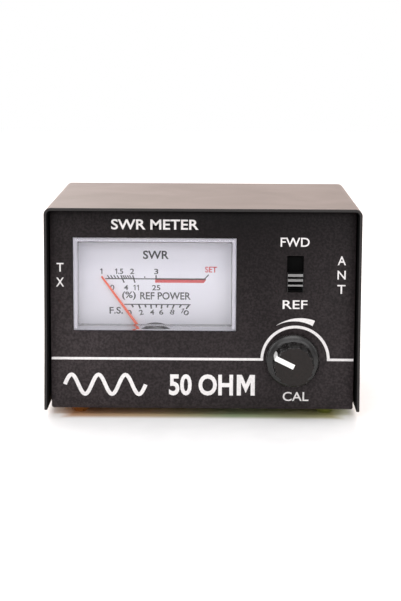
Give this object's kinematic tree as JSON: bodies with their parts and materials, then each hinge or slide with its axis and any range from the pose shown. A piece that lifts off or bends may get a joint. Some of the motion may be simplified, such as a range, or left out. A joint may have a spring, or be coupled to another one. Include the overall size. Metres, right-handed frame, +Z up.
{
  "type": "swr meter",
  "caption": "Small black box meter for amateur radio: panel meter with swinging needle, slide switch, fluted knob and coaxial sockets at the back.",
  "frame": {"origin": "on the table under the feet, midway between the two sides and midway between knob cap and socket ends", "axes": "+X to the right seen from the front, +Y to the back, along the sockets, +Z up"},
  "size_m": [0.1032, 0.1012, 0.0675],
  "materials": {
    "passivated_steel": "yellow passivated zinc, faint iridescence",
    "black_paint": "fine textured black paint",
    "printed_black": "satin black with white print",
    "plated_screws": "zinc plated",
    "nickel_plate": "bright nickel plate",
    "socket_insulation": "white fluoroplastic",
    "gilt_brass": "bright brass",
    "plain_brass": "plain brass",
    "copper_foil": "tinned copper foil",
    "green_board": "glass epoxy with solder mask",
    "brown_board": "phenolic paper board",
    "diode_glass": "glass diode body",
    "resistor_body": "lacquered resistor body",
    "ceramic_body": "dipped ceramic",
    "black_foam": "foam gasket",
    "clear_plastic": "clear polished plastic",
    "white_plastic": "white moulding",
    "dial_print": "pale printed dial",
    "needle_paint": "orange red paint",
    "coil_wire": "enamelled copper winding",
    "bright_steel": "bright steel",
    "dark_iron": "ground iron",
    "spring_bronze": "spring bronze",
    "tinned_copper": "tinned",
    "black_plastic": "black moulding",
    "knob_plastic": "semi-gloss black moulding",
    "white_inlay": "white filled line",
    "carbon_track": "carbon track",
    "wire_sleeving": "coloured sleeving"
  },
  "bodies": {
    "case": {"chassis": "passivated_steel", "cover": "black_paint", "faceplate": "printed_black", "cover_screws": "plated_screws", "tx_flange": "nickel_plate", "tx_barrel": "nickel_plate", "tx_insulator": "socket_insulation", "tx_contact": "gilt_brass", "ant_flange": "nickel_plate", "ant_barrel": "nickel_plate", "ant_insulator": "socket_insulation", "ant_contact": "gilt_brass", "socket_screws": "plated_screws", "socket_nuts": "plated_screws", "coupler_board": "green_board", "coupler_line": "copper_foil", "sense_lines": "copper_foil", "board_spacers": "plain_brass", "board_screws": "plated_screws", "diodes": "diode_glass", "load_resistors": "resistor_body", "bypass_capacitors": "ceramic_body", "meter_gasket": "black_foam", "meter_lens": "clear_plastic", "meter_housing": "white_plastic", "meter_dial": "dial_print", "magnet_core": "dark_iron", "core_mount": "plain_brass", "yoke_ring": "dark_iron", "front_bridge": "plain_brass", "rear_bridge": "plain_brass", "jewel_screws": "plain_brass", "hairsprings": "spring_bronze", "meter_terminals": "plain_brass", "switch_frame": "bright_steel", "switch_base": "brown_board", "switch_terminals": "tinned_copper", "pot_housing": "bright_steel", "pot_bushing": "plain_brass", "pot_washer": "plated_screws", "pot_nut": "plated_screws", "pot_element": "carbon_track", "pot_terminals": "tinned_copper", "control_board": "brown_board", "wires": "wire_sleeving"},
    "knob": {"knob": "knob_plastic", "knob_pointer": "white_inlay", "pot_shaft": "bright_steel", "pot_wiper": "spring_bronze"},
    "switch": {"switch_button": "black_plastic", "switch_slider": "spring_bronze"},
    "pointer": {"meter_pointer": "needle_paint", "meter_coil": "coil_wire", "coil_pivots": "bright_steel"}
  },
  "joints": [
    {"name": "knob_turn", "type": "hinge", "parent": "case", "child": "knob", "pos_m": [0.0289, -0.0439, 0.01845], "axis": [0, 1, 0], "range_deg": [-86, 214]},
    {"name": "switch_slide", "type": "slide", "parent": "case", "child": "switch", "axis": [0, 0, 1], "range_m": [0, 0.005]},
    {"name": "pointer_swing", "type": "hinge", "parent": "case", "child": "pointer", "pos_m": [-0.0152, -0.0439, 0.0199], "axis": [0, 1, 0], "range_deg": [0, 71.4], "stiffness_Nm_per_rad": 0.00005}
  ]
}
